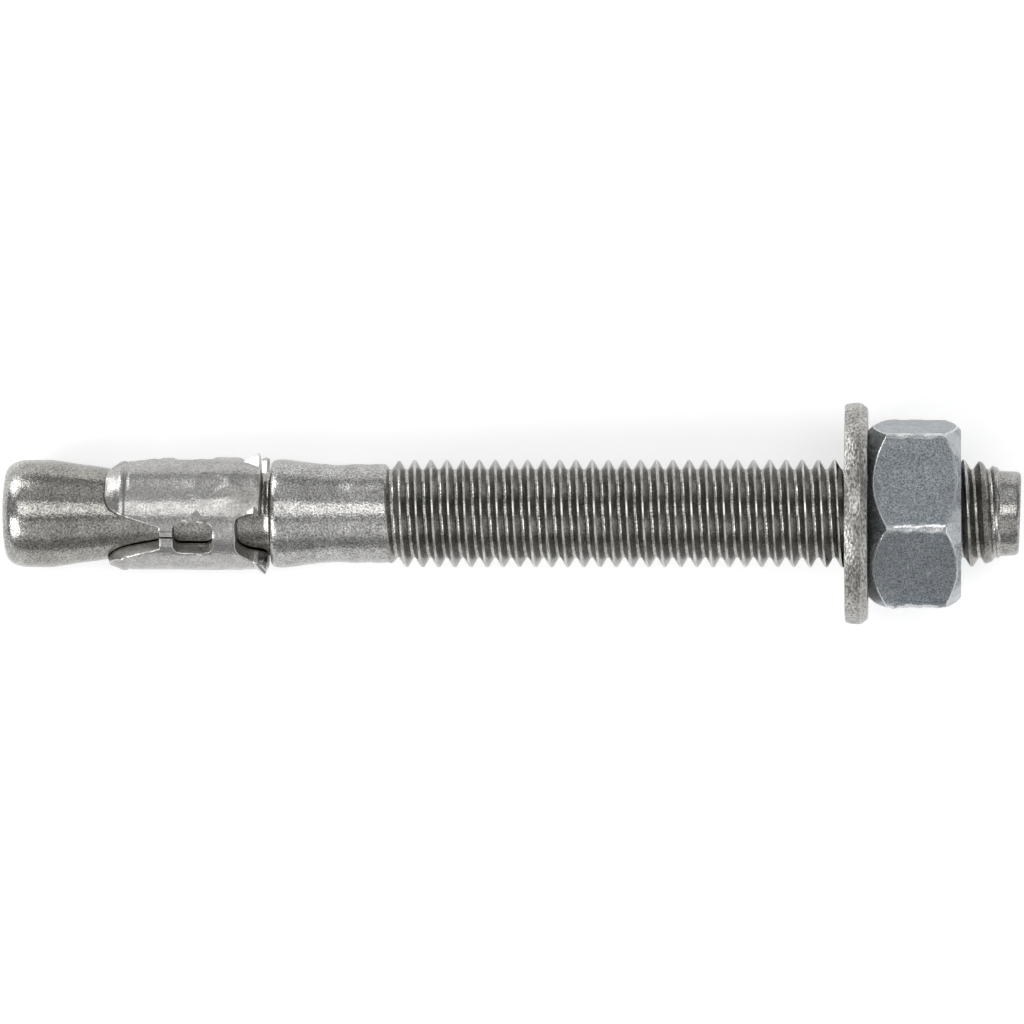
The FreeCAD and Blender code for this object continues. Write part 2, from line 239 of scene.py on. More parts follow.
def finish_piece(mesh, name, body, node, slot, sizes, finish, sharp_angle=32, flat=()):
    """Lays the piece down in its place on the frame and dresses it."""
    for face in mesh.faces:
        face.smooth = face not in flat
    bmesh.ops.recalc_face_normals(mesh, faces=mesh.faces)
    bmesh.ops.transform(mesh, matrix=LAID_DOWN, verts=mesh.verts)
    shape = bpy.data.meshes.new(name)
    mesh.to_mesh(shape)
    mesh.free()
    shape.set_sharp_from_angle(angle=radians(sharp_angle))
    shape.materials.append(steel(slot, sizes, finish))
    piece = bpy.data.objects.new(name, shape)
    bpy.context.scene.collection.objects.link(piece)
    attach(piece, body)
    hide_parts(node)


# Shapes read from the photograph

# Places of the thread's points in one pitch, and the depth there as a share of the full depth.
THREAD_ROWS = (0, 0.045, 0.085, 0.225, 0.366, 0.405, 0.45, 0.5, 0.55, 0.595, 0.634, 0.775, 0.915, 0.955)
THREAD_DEPTHS = ((0, 0), (0.045, 0.02), (0.085, 0.085), (0.366, 0.88), (0.405, 0.965), (0.45, 0.99), (0.5, 1))

# Where the shell of the thread is cut, where its groove and crests rise out of the shank, and
# where the marks of the thread begin and end.
THREAD_CUT = (41.0, 109.0)
GROOVE_RISE = (41.55, 42.15)
CREST_RISE = (41.9, 43.6)
MARKS_START = (41.7, 42.3)
MARKS_END = (106.8, 108)

NECK_RADIUS = 4.425
NECK_END = 29
COLLAR_START = (29.2, 30.5)
TIP_STAIN_AND_SHADE_START = (1.6, 3)
DOG_POINT = 108.2
DOG_POINT_DIAMETER = 9.2
STUD_END = 110.5
END_SLANT = 0.3
# Share of the flanks' painted shade that is deepened further towards the pits' colour.
PAINTED_SHADE_SHARE = 0.25

# Radius of the stud from the shank's cut to the tip.
STUD_FRONT = (
    (5.37, 40.6), (5.31, 40.0), (5.32, 39.2), (5.365, 38.3), (5.325, 37.8), (5.275, 37.2),
    (5.275, 36.1), (5.385, 35.1), (5.39, 34.5), (5.525, 33.4), (5.68, 32.35), (5.825, 31.3),
    (5.875, 30.7), (5.88, 30.18), (5.85, 29.85), (5.785, 29.6), (5.66, 29.4), (5.5, 29.28),
    (5.38, 29.25), (5.1, 29.24), (4.75, 29.2), (4.58, 29.12), (4.54, 29.02), (4.53, 28.92),
    (4.49, 28.82), (4.44, 28.7), (4.427, 28.55), (NECK_RADIUS, 27.0), (NECK_RADIUS, 24.0),
    (NECK_RADIUS, 21.0), (NECK_RADIUS, 18.0), (NECK_RADIUS, 15.6), (4.45, 14.6), (4.53, 13.6),
    (4.7, 12.6), (4.97, 11.3), (5.18, 10.0), (5.33, 8.7), (5.53, 7.4), (5.73, 6.1), (5.82, 5.5),
    (5.85, 5.0), (5.855, 4.2), (5.85, 3.0), (5.815, 2.25), (5.75, 1.9), (5.665, 1.57),
    (5.535, 1.25), (5.35, 0.92), (5.05, 0.6), (4.7, 0.42), (4.3, 0.3), (3.9, 0.235), (3.0, 0.145),
    (2.0, 0.065), (1.0, 0.016), (0.4, 0.003),
)

# Radius of the stud from the dog point's edge to its end face.
STUD_BACK = (
    (4.56, 109.6), (4.53, 110.0), (4.48, 110.2), (4.38, 110.36), (4.2, 110.46), (3.95, 110.49),
    (2.5, STUD_END), (1.2, STUD_END),
)

# Crest radius at the end of the thread, down to the dog point.
THREAD_POINT = ((104.4, 5.85), (106.1, 5.63), (107.9, 4.98), (108.1, 4.62), (109.0, 4.58))

# One half of a clip cell: degrees from the petal's middle, and place along the axis.
PETAL_EDGE = (
    (0, 11.08), (9, 11.08), (15, 11.12), (20, 11.25), (24, 11.45), (28, 11.76), (31, 12.2),
    (34, 12.73), (36, 13.3), (38, 13.92), (40.5, 14.7), (43, 15.5), (46, 16.5), (47.6, 17.0),
    (48.6, 17.2), (60, 17.2), (60, 18.9), (51, 18.9), (47, 19.02), (44.2, 19.3), (43.2, 19.75),
    (43.2, 22.15), (44.2, 22.6), (47, 22.89), (51, 23.0), (60, 23.0),
)

# The rear of a cell: its straight side, its flared side and that side where it is cut away.
STRAIGHT_REAR = (
    (60, 25.72), (44, 25.72), (39.5, 25.82), (37.4, 26.1), (36.2, 26.6), (35.2, 27.2), (34.7, 27.6),
    (35.2, 27.95), (36.2, 28.3), (35.9, 28.58), (34.5, 28.7), (0, 28.7),
)
FLARED_REAR = (
    (-24, 28.7), (-35, 28.68), (-38.5, 28.5), (-39.8, 28.1), (-39.9, 27.2), (-39.5, 26.8),
    (-40.6, 26.5), (-48.2, 26.25), (-49.6, 26.05), (-50.5, 25.82), (-52, 25.72), (-60, 25.72),
)
CUT_REAR = (
    (-14, 28.7), (-19, 28.6), (-24, 28.25), (-27.4, 27.85), (-28.6, 27.5), (-31, 27.0),
    (-35.5, 26.5), (-40, 26.1), (-44.5, 25.85), (-49, 25.72), (-60, 25.72),
)

# Radius of the clip's outside, as rows of place along the axis and radius.
CLIP_PROFILE = (
    (11.0, 5.42), (11.3, 5.5), (11.8, 5.67), (12.3, 5.85), (12.65, 5.98), (12.85, 6.1),
    (13.05, 6.17), (13.3, 6.19), (13.5, 6.15), (13.65, 6.06), (13.8, 6.03), (14.0, 6.08),
    (14.2, 6.085), (16.0, 6.075), (28.0, 6.075), (28.9, 6.03),
)

# Middle angle of each petal, how far its front edge stands back and its rear edge reaches, and
# the outline of its flared side.
PETALS = (
    (-152.5, 0.35, 0.2, FLARED_REAR),
    (-32.5, 0.25, -0.32, FLARED_REAR),
    (87.5, 0.45, 0.24, CUT_REAR),
)
FRONT_EDGE = (11, 13.5)
REAR_EDGE = (27.2, 28.6)

SLOT_LINES = (-212.5, -92.5, 27.5, 147.5)
SCORE_SPAN = (17.1, 19.0)
SCORE_SLIT = 0.8
SCORE_STAIN = 1.05
SCORE_RIM = 1.1
THINNEST = 0.02

# A dull patch at the rear of the front petal, and the flow of the steel behind the windows.
DULL_MIDDLE = -10
DULL_EDGE = (12, 20)
DULL_START = (23.8, 26.2)
DULL_SHARE = 0.8
FLOW_START = (18, 22)
FLOW_HEIGHT = 0.05
FLOW_EDGE = 0.04
BARB_FACE = 0.06

# Barbs on the petals' rear corners and dents beside the window: the point, its height and the
# three corners of the foot, in degrees from the camera and millimetres from the tip.
MARKS = (
    ((-70, 28.04), 0.88, ((-67.5, 26.3), (-56, 28.04), (-72.5, 28.9))),
    ((0.1, 27.6), 0.38, ((1.4, 26.5), (-7.4, 27.7), (4.8, 28.6))),
    ((71.5, 28.6), 0.85, ((58.6, 27.4), (81.5, 27.6), (69, 30.5))),
    ((120.1, 28.1), 0.6, ((121.4, 26.9), (112, 28.2), (125, 29.3))),
    ((-119.6, 28.4), 0.95, ((-118.4, 26.9), (-128, 28.3), (-115, 29.6))),
    ((-190, 28.3), 0.8, ((-187.5, 26.5), (-176, 28.3), (-192.5, 29.1))),
    ((7.6, 22.0), -0.26, ((-4.6, 21.45), (9.4, 20.4), (9, 22.5))),
    ((46, 21.9), 0.18, ((50, 21.6), (44, 21.3), (44, 22.4))),
)

# Radii of the nut's rings from its thread out, the share of worn colour painted on its outer chamfer
# as a sheen that lightens that end, and the points that are laid along its corners.
NUT_CREST = 5.06
NUT_MOUTH = 6.12
NUT_OUTSIDE = 7
NUT_FACE_RING = 7.6
CHAMFER_SHEEN = 0.45
RIDGE_START = 2.5
RIDGE_MARGIN = 2.3
RIDGE_STEP = 0.4


def reach_back(s, reach):
    """Moves a place near a petal's rear edge with that edge."""
    return s + reach * eased(*REAR_EDGE, s)


def along_strip(angle):
    """Place along the flat strip of an angle in degrees."""
    return radians(angle) * SURFACE_RADIUS


# Surface effects


def add_node(tree, kind, name, values=None, **settings):
    node = tree.nodes.new(kind)
    node.name = node.label = name
    for setting, value in settings.items():
        setattr(node, setting, value)
    for socket, value in (values or {}).items():
        node.inputs[socket].default_value = value
    return node


def join(tree, *links):
    """Links nodes: each link is a node and its output, then a node and its input."""
    for start, output, end, target in links:
        tree.links.new(start.outputs[output], end.inputs[target])


def new_effect(name, inputs, output):
    """An empty shader node group with a position, the named numbers and one result."""
    tree = bpy.data.node_groups.new(name, "ShaderNodeTree")
    tree.interface.new_socket(name="Position", in_out="INPUT", socket_type="NodeSocketVector")
    for label, value in inputs.items():
        socket = tree.interface.new_socket(name=label, in_out="INPUT", socket_type="NodeSocketFloat")
        socket.default_value = value
    tree.interface.new_socket(name=output, in_out="OUTPUT", socket_type="NodeSocketFloat")
    return tree, tree.nodes.new("NodeGroupInput"), tree.nodes.new("NodeGroupOutput")


def patches(along, across, contrast, seed):
    """Settings of a soft noise: patches per metre along the axis and across it."""
    return {"Along": along, "Across": across, "Contrast": contrast, "Seed": seed}


def stretched_noise(name, detail):
    """Soft patches whose size is set along the axis and across it, in patches per metre."""
    tree, given, result = new_effect(name, patches(1000.0, 1000.0, 1.0, 0.0), "Shade")
    sizes = add_node(tree, "ShaderNodeCombineXYZ", "Patch size")
    scaled = add_node(tree, "ShaderNodeVectorMath", "Scaled position", operation="MULTIPLY")
    look = {"Scale": 1.0, "Detail": detail, "Roughness": 0.6}
    texture = add_node(tree, "ShaderNodeTexNoise", "Patches", look, noise_dimensions="4D")
    centred = add_node(tree, "ShaderNodeMath", "Centred", {1: 0.5}, operation="SUBTRACT")
    raised = add_node(tree, "ShaderNodeMath", "Contrast", {2: 0.5}, operation="MULTIPLY_ADD", use_clamp=True)
    join(
        tree,
        (given, "Along", sizes, "X"),
        (given, "Across", sizes, "Y"),
        (given, "Across", sizes, "Z"),
        (given, "Position", scaled, 0),
        (sizes, "Vector", scaled, 1),
        (scaled, "Vector", texture, "Vector"),
        (given, "Seed", texture, "W"),
        (texture, 0, centred, 0),
        (centred, 0, raised, 0),
        (given, "Contrast", raised, 1),
        (raised, 0, result, "Shade"),
    )
    return tree


def pitting():
    """Small pits and specks: 1 in a pit and 0 on the plain surface."""
    tree, given, result = new_effect("Steel pits", {"Pits per metre": 2500.0, "Amount": 0.3}, "Pit")
    cells = add_node(tree, "ShaderNodeTexNoise", "Pit places", {"Detail": 2.0, "Roughness": 0.5})
    depth = add_node(tree, "ShaderNodeMapRange", "Pit depth", {"From Min": 0.62, "From Max": 0.78})
    amount = add_node(tree, "ShaderNodeMath", "Amount", operation="MULTIPLY", use_clamp=True)
    join(
        tree,
        (given, "Position", cells, "Vector"),
        (given, "Pits per metre", cells, "Scale"),
        (cells, 0, depth, "Value"),
        (depth, "Result", amount, 0),
        (given, "Amount", amount, 1),
        (amount, 0, result, "Pit"),
    )
    return tree


def effect(name):
    """A shared effect, built the first time that a material asks for it."""
    makers = {
        "Steel mottle": lambda: stretched_noise("Steel mottle", 5.0),
        "Steel grain": lambda: stretched_noise("Steel grain", 3.0),
        "Steel speckle": lambda: stretched_noise("Steel speckle", 0.6),
        "Steel pits": pitting,
    }
    return bpy.data.node_groups.get(name) or makers[name]()


def place_effect(tree, name, position, values):
    node = add_node(tree, "ShaderNodeGroup", name, node_tree=effect(name))
    for label, value in values.items():
        node.inputs[label].default_value = value
    tree.links.new(position, node.inputs["Position"])
    return node.outputs[0]


def mix_colours(tree, name, share, first, second, blend="MIX"):
    node = add_node(tree, "ShaderNodeMix", name, data_type="RGBA", blend_type=blend)
    for socket, value in ((0, share), (6, first), (7, second)):
        if isinstance(value, bpy.types.NodeSocket):
            tree.links.new(value, node.inputs[socket])
        else:
            node.inputs[socket].default_value = value if socket == 0 else (*value, 1)
    return node.outputs[2]


def map_value(tree, name, value, low, high):
    node = add_node(tree, "ShaderNodeMapRange", name, {"To Min": low, "To Max": high})
    tree.links.new(value, node.inputs["Value"])
    return node.outputs["Result"]


def add_bump(tree, name, height, distance, normal=None):
    node = add_node(tree, "ShaderNodeBump", name, {"Distance": distance, "Strength": 1.0})
    tree.links.new(height, node.inputs["Height"])
    if normal:
        tree.links.new(normal, node.inputs["Normal"])
    return node.outputs["Normal"]


def grey_shade(tree, name, value, low, high):
    """A grey that follows a value, to shade a colour with."""
    shade = map_value(tree, name, value, low, high)
    grey = add_node(tree, "ShaderNodeCombineColor", name + " grey")
    for socket in grey.inputs:
        tree.links.new(shade, socket)
    return grey.outputs[0]


# Each kind of mark: how its colour is blended in, which colour it is, and how uneven it lies.
# The stain and shade mark tints cut steel and the taper, and paints shade on the thread's flanks and the neck
# under the clip; the painted shade mark darkens the thread's grooves and the foot of the clip's cut edges;
# the wear and sheen mark lightens worn edges, crests and barbs, and paints a sheen on the nut's outer
# chamfer.
MARK_LOOKS = {
    "stain_and_shade": ("MULTIPLY", "stain_and_shade_colour", (1.15, 0.75)),
    "wear_and_sheen": ("MIX", "wear_and_sheen_colour", (1.5, 0.2)),
    "painted_shade": ("MIX", "pit_colour", (1.1, 0.7)),
}
WEAR_AND_SHEEN_GLOSS = 0.2
PAINTED_SHADE_GLOSS = 0.6


def steel(name, looks, finish):
    """A bare steel: mottled colour and gloss, speckle, marks of the tool, pits, worn edges, and the painted
    shade and sheen that some marks carry.
    """
    material = bpy.data.materials.new(name)
    material.use_nodes = True
    tree = material.node_tree
    shader = next(node for node in tree.nodes if node.type == "BSDF_PRINCIPLED")
    shader.inputs["Metallic"].default_value = 1.0
    coordinates = add_node(tree, "ShaderNodeTexCoord", "Place on the part")
    mapping = add_node(tree, "ShaderNodeMapping", "Turned to the axis", {"Rotation": (0, TILT, 0)})
    tree.links.new(coordinates.outputs["Object"], mapping.inputs["Vector"])
    position = mapping.outputs["Vector"]
    mottle = place_effect(tree, "Steel mottle", position, finish["mottle"])
    speckle = place_effect(tree, "Steel speckle", position, finish["speckle"])
    bands = place_effect(tree, "Steel grain", position, finish["bands"])
    pits = place_effect(tree, "Steel pits", position, finish["pits"])
    tone = mix_colours(tree, "Mottled colour", mottle, looks.dark_colour, looks.bright_colour)
    shade = grey_shade(tree, "Bands", bands, *finish["band_shade"])
    tone = mix_colours(tree, "Banded colour", 1.0, tone, shade, "MULTIPLY")
    shade = grey_shade(tree, "Speckle", speckle, *finish["speckle_shade"])
    tone = mix_colours(tree, "Speckled colour", 1.0, tone, shade, "MULTIPLY")
    tone = mix_colours(tree, "Pitted colour", pits, tone, looks.pit_colour)
    gloss = map_value(tree, "Gloss", mottle, *finish["roughness"])
    for label, rough in finish["marks"].items():
        title = label.title()
        blend, colour_name, uneven = MARK_LOOKS[label]
        marked = getattr(looks, colour_name)
        mark = add_node(tree, "ShaderNodeAttribute", title + " places", attribute_name=label)
        amount = add_node(tree, "ShaderNodeMath", title + " amount", operation="MULTIPLY", use_clamp=True)
        tree.links.new(mark.outputs["Fac"], amount.inputs[0])
        tree.links.new(map_value(tree, title + " unevenness", mottle, *uneven), amount.inputs[1])
        tone = mix_colours(tree, title + " colour", amount.outputs[0], tone, marked, blend)
        mixed = add_node(tree, "ShaderNodeMix", title + " gloss", {3: rough}, data_type="FLOAT")
        tree.links.new(amount.outputs[0], mixed.inputs[0])
        tree.links.new(gloss, mixed.inputs[2])
        gloss = mixed.outputs[0]
    tree.links.new(tone, shader.inputs["Base Color"])
    tree.links.new(gloss, shader.inputs["Roughness"])
    normal = add_bump(tree, "Speckle height", speckle, finish["heights"][0])
    normal = add_bump(tree, "Mottle height", mottle, finish["heights"][1], normal)
    normal = add_bump(tree, "Band height", bands, finish["heights"][2], normal)
    normal = add_bump(tree, "Pit depth", pits, -finish["heights"][3], normal)
    tree.links.new(normal, shader.inputs["Normal"])
    return material


# Settings


def length(name, description, default):
    return FloatProperty(name=name, description=description, default=default * MM, min=0, unit="LENGTH")


def colour(name, description, default):
    return FloatVectorProperty(
        name=name, description=description, default=default, subtype="COLOR", min=0, max=1
    )


def bright_patches(*default):
    return colour("Bright patches", "Colour of the bright patches", default)


def dull_patches(*default):
    return colour("Dull patches", "Colour of the dull patches", default)


def small_pits(*default):
    return colour("Pits", "Colour in the small pits", default)


def wear_and_sheen_setting(*default):
    return colour("Worn edges", "Colour of the rubbed edges", default)


def lamp_power(name, description, default):
    return FloatProperty(name=name, description=description, default=default, min=0)


def turn_setting(name, description, default):
    return FloatProperty(name=name, description=description, default=radians(default), subtype="ANGLE")


class StudSettings(PropertyGroup):
    pitch: length("Pitch", "Distance from one crest of the thread to the next", 1.75)
    crest_diameter: length("Crest diameter", "Diameter over the crests of the thread", 11.74)
    root_diameter: length("Root diameter", "Diameter at the bottom of the thread", 9.6)
    shank_diameter: length("Shank diameter", "Diameter of the plain shank beside the thread", 10.73)
    first_crest: length("First crest", "Place of a crest that faces the camera, from the tip", 43.45)
    columns: IntProperty(name="Columns", description="Faces round the stud", default=96, min=24, max=160)
    bright_colour: bright_patches(0.414, 0.411, 0.4)
    dark_colour: dull_patches(0.286, 0.282, 0.271)
    pit_colour: small_pits(0.071, 0.069, 0.064)
    stain_and_shade_colour: colour("Stains", "Tint of the thread's flanks, neck and taper", (0.76, 0.75, 0.72))
    wear_and_sheen_colour: wear_and_sheen_setting(0.529, 0.521, 0.507)


class ClipSettings(PropertyGroup):
    wall: length("Wall", "Thickness of the rolled strip", 1.45)
    bore_clearance: length("Bore clearance", "Gap between the clip and the neck", 0.2)
    taper_clearance: length("Taper clearance", "Gap between the petals and the taper", 0.12)
    score_web: length("Score web", "Steel left under the scored lines", 0.12)
    score_width: length("Score width", "Width of the scored lines at the surface", 1.9)
    score_depth: length("Score depth", "Depth of the scored lines beside their slit", 0.42)
    seam_width: length("Seam width", "Gap between the two ends of the strip", 0.3)
    edge_rounding: length("Edge rounding", "Rounding of the strip's cut edges", 0.22)
    foot_width: length("Foot width", "Width of the burr at the foot of the cut edges", 0.11)
    foot_height: length("Foot height", "Height of that burr", 0.05)
    bright_colour: bright_patches(0.379, 0.375, 0.364)
    dark_colour: dull_patches(0.279, 0.275, 0.268)
    pit_colour: small_pits(0.093, 0.089, 0.082)
    stain_and_shade_colour: colour("Sheared edges", "Tint of the cut steel and dull patch", (0.98, 0.965, 0.94))
    wear_and_sheen_colour: wear_and_sheen_setting(0.429, 0.425, 0.414)


class WasherSettings(PropertyGroup):
    diameter: length("Diameter", "Outer diameter of the washer", 23.98)
    bore: length("Bore", "Diameter of the hole", 13)
    thickness: length("Thickness", "Thickness of the washer", 2.5)
    place: length("Place", "Place of the washer's front face, from the tip", 91.4)
    chamfer_depth: length("Chamfer depth", "Depth of the nut side's chamfer along the axis", 0.75)
    chamfer_width: length("Chamfer width", "Width of that chamfer towards the axis", 0.6)
    rim_crown: length("Rim crown", "How far the rim's front edge stands in", 0.24)
    edge_rounding: length("Edge rounding", "Rounding of the washer's edges", 0.12)
    bright_colour: bright_patches(0.357, 0.35, 0.332)
    dark_colour: dull_patches(0.229, 0.225, 0.214)
    pit_colour: small_pits(0.071, 0.068, 0.063)
    wear_and_sheen_colour: wear_and_sheen_setting(0.33, 0.324, 0.31)


class NutSettings(PropertyGroup):
    width: length("Width", "Width across the flats", 19)
    height: length("Height", "Height of the nut", 10)
    face_diameter: length("Face diameter", "Diameter of the flat end faces", 18.05)
    seat_chamfer: length("Seat chamfer", "Height of the washer side's chamfer at the corners", 2.1)
    outer_chamfer: length("Outer chamfer", "Height of the outer side's chamfer at the corners", 1.8)
    countersink: length("Countersink", "Depth of the countersinks of the bore", 0.55)
    thread_clearance: length("Thread clearance", "Gap between the nut's thread and the stud's", 0.15)
    edge_rounding: length("Edge rounding", "Rounding of the edges of the chamfers", 0.13)
    ridge_rounding: length("Ridge rounding", "Rounding of the nut's six corners", 0.5)
    corner_angle: turn_setting("Corner angle", "Turn of the first corner from the camera", 8.7)
    bright_colour: bright_patches(0.286, 0.307, 0.325)
    dark_colour: dull_patches(0.193, 0.211, 0.225)
    pit_colour: small_pits(0.1, 0.107, 0.114)
    wear_and_sheen_colour: wear_and_sheen_setting(0.529, 0.536, 0.539)


class StageSettings(PropertyGroup):
    camera_distance: length("Camera distance", "Distance of the camera from the bolt's axis", 1060)
    camera_foot: length("Camera place", "Place on the axis that the camera stands over", 102.2)
    camera_aim: length("Aim", "Place on the axis at the middle of the picture", 55.32)
    camera_rise: length("Rise", "Aim above the axis in the picture", 0.16)
    view_angle: turn_setting("View angle", "Angle of view of the camera", 5.99)
    key_power: lamp_power("Key power", "Power of the lamp over the camera", 4.8)
    fill_power: lamp_power("Fill power", "Power of the upper side lamp", 1.1)
    spot_power: lamp_power("Tip power", "Power of the upper lamp off the tip", 7)
    end_power: lamp_power("Nut end power", "Power of the lamp off the nut end", 3.3)
    sky_colour: colour("Surroundings", "Light of the room", (0.48, 0.482, 0.486))
    floor_colour: colour("Floor", "Colour of the floor", (0.85, 0.85, 0.85))
    floor_whitening: FloatProperty(
        name="Floor whitening",
        description="How much the floor is lifted towards white",
        default=0.3,
        min=0,
        max=1,
    )


# Pieces


def thread_radius(angle, s, first_crest, pitch, crest, root):
    """Radius of the thread where its helix passes an angle and a place along the axis."""
    share = ((s - first_crest) / pitch - angle / (2 * pi)) % 1
    return crest - (crest - root) * between(THREAD_DEPTHS, min(share, 1 - share))


def thread_of(stud):
    """The thread's first crest and pitch, and its crest and root radius."""
    crest, root = in_mm(stud.crest_diameter) / 2, in_mm(stud.root_diameter) / 2
    return in_mm(stud.first_crest), in_mm(stud.pitch), crest, root


def stud_radius(angle, s, sizes):
    first_crest, pitch, crest, root = thread_of(sizes)
    shank = in_mm(sizes.shank_diameter) / 2
    low_crest = shank + (crest - shank) * eased(*CREST_RISE, s) + 0.025 * unevenness(angle, s, 3, 11)
    thread = thread_radius(angle, s, first_crest, pitch, low_crest, root)
    cut = shank + (thread - shank) * eased(*GROOVE_RISE, s)
    return min(cut, between(THREAD_POINT, s))


# The neck and taper that the clip is rolled on to, as rows of place and radius.
CLIP_SEAT = sorted((place, radius) for radius, place in STUD_FRONT if place < NECK_END)


def clip_inside(s, sizes):
    on_taper = between(CLIP_SEAT, s) + in_mm(sizes.taper_clearance)
    return max(on_taper, NECK_RADIUS + in_mm(sizes.bore_clearance))


def score_reach(sizes):
    """Half the width of a scored line, in degrees."""
    return degrees(in_mm(sizes.score_width) / (2 * SURFACE_RADIUS))


def barb_height(angle, s):
    """Height of the raised barbs and of the dents over the clip's surface."""
    for (turn, place), height, foot in MARKS:
        across, back = angle - turn, s - place
        for first, second in zip(foot, (*foot[1:], foot[0])):
            first_across, first_back = first[0] - turn, first[1] - place
            second_across, second_back = second[0] - turn, second[1] - place
            area = first_across * second_back - first_back * second_across
            share = (across * second_back - back * second_across) / area
            other = (first_across * back - first_back * across) / area
            if min(share, other) >= -1e-6 and share + other < 1:
                return height * (1 - share - other)
    return 0


def clip_outside(angle, s, sizes):
    inside = clip_inside(s, sizes)
    turn = radians(angle)
    flow = FLOW_HEIGHT * eased(-FLOW_EDGE, FLOW_EDGE, unevenness(turn, s, 3.2, 7)) * eased(*FLOW_START, s)
    uneven = 0.025 * unevenness(turn, s, 2.2, 3)
    radius = between(CLIP_PROFILE, s) + uneven + flow + barb_height(angle, s)
    if SCORE_SPAN[0] < s < SCORE_SPAN[1]:
        off_line = min(abs(angle - line) for line in SLOT_LINES)
        groove = off_line / score_reach(sizes)
        if off_line <= SCORE_SLIT + 1e-3:
            return inside + in_mm(sizes.score_web)
        radius -= in_mm(sizes.score_depth) * max(1 - groove, 0)
    return radius


class AnchorStud(Operator):
    """Models the stud with its tip, neck, collar, rolled thread and dog point"""

    bl_idname = "anchor_bolt.stud"
    bl_label = "Stud"

    def execute(self, context):
        sizes = context.scene.anchor_stud
        low, high = THREAD_CUT
        mesh = bmesh.new()
        first_crest, pitch, crest, root = thread_of(sizes)
        wind_thread(mesh, low, high, first_crest, pitch, sizes.columns)
        stain_and_shade = mesh.verts.layers.float.new("stain_and_shade")
        wear_and_sheen = mesh.verts.layers.float.new("wear_and_sheen")
        painted_shade = mesh.verts.layers.float.new("painted_shade")
        for vert in mesh.verts:
            angle, s = angle_of(vert), vert.co.z
            radius = stud_radius(angle, s, sizes)
            set_radius(vert, radius)
            depth = (crest - radius) / (crest - root)
            cut = eased(*MARKS_START, s) * (1 - eased(*MARKS_END, s))
            # The flanks are darkened with the stain and shade colour: painted shade in the thread's grooves,
            # left off at the crests and eased off in the roots.
            vert[stain_and_shade] = cut * eased(0.01, 0.12, depth) * (1 - 0.85 * eased(0.95, 0.99, depth))
            # A share of that painted shade is deepened further towards the pits' colour.
            vert[painted_shade] = PAINTED_SHADE_SHARE * vert[stain_and_shade]
            vert[wear_and_sheen] = cut * (1 - eased(0.03, 0.1, depth)) * (0.7 + unevenness(angle, s, 2.5, 21))
        tip, end = ring_at(mesh, low), ring_at(mesh, high)
        for radius, s in STUD_FRONT:
            tip = draw_ring(mesh, tip, radius, s)
        close_ring(mesh, tip, 0)
        # The tip, taper and neck are darkened from the tip back: a darker tone of the steel on the open
        # taper, and painted shade on the neck and taper under the clip.
        for vert in mesh.verts:
            if vert.co.z < NECK_END:
                vert[stain_and_shade] = 0.25 + 0.85 * eased(*TIP_STAIN_AND_SHADE_START, vert.co.z)
            elif vert.co.z < low:
                angle, s = angle_of(vert), vert.co.z
                uneven = 0.03 * unevenness(angle, s, 2.4, 31) * eased(*COLLAR_START, s)
                set_radius(vert, radius_of(vert) + uneven)
        for radius, s in STUD_BACK:
            end = draw_ring(mesh, end, radius, s)
        close_ring(mesh, end, STUD_END)
        for vert in mesh.verts:
            if vert.co.z > DOG_POINT:
                vert[stain_and_shade] = 0.6
            if vert.co.z > high:
                slant = END_SLANT * (0.5 + vert.co.y / DOG_POINT_DIAMETER)
                vert.co.z -= slant * eased(high, STUD_END, vert.co.z)
        finish = {
            "mottle": patches(800, 600, 2.2, 1),
            "speckle": patches(5600, 5200, 2.2, 2),
            "speckle_shade": (0.42, 1.58),
            "marks": {"stain_and_shade": 0.18, "wear_and_sheen": WEAR_AND_SHEEN_GLOSS, "painted_shade": PAINTED_SHADE_GLOSS},
            "bands": patches(450, 180, 2.0, 3),
            "pits": {"Pits per metre": 3000, "Amount": 0.5},
            "band_shade": (0.74, 1.16),
            "roughness": (0.28, 0.17),
            "heights": (0.9e-5, 1.2e-5, 3e-5, 1.5e-5),
        }
        finish_piece(mesh, "stud_turned", "stud_body", "stud", "stud_steel", sizes, finish)
        return {"FINISHED"}


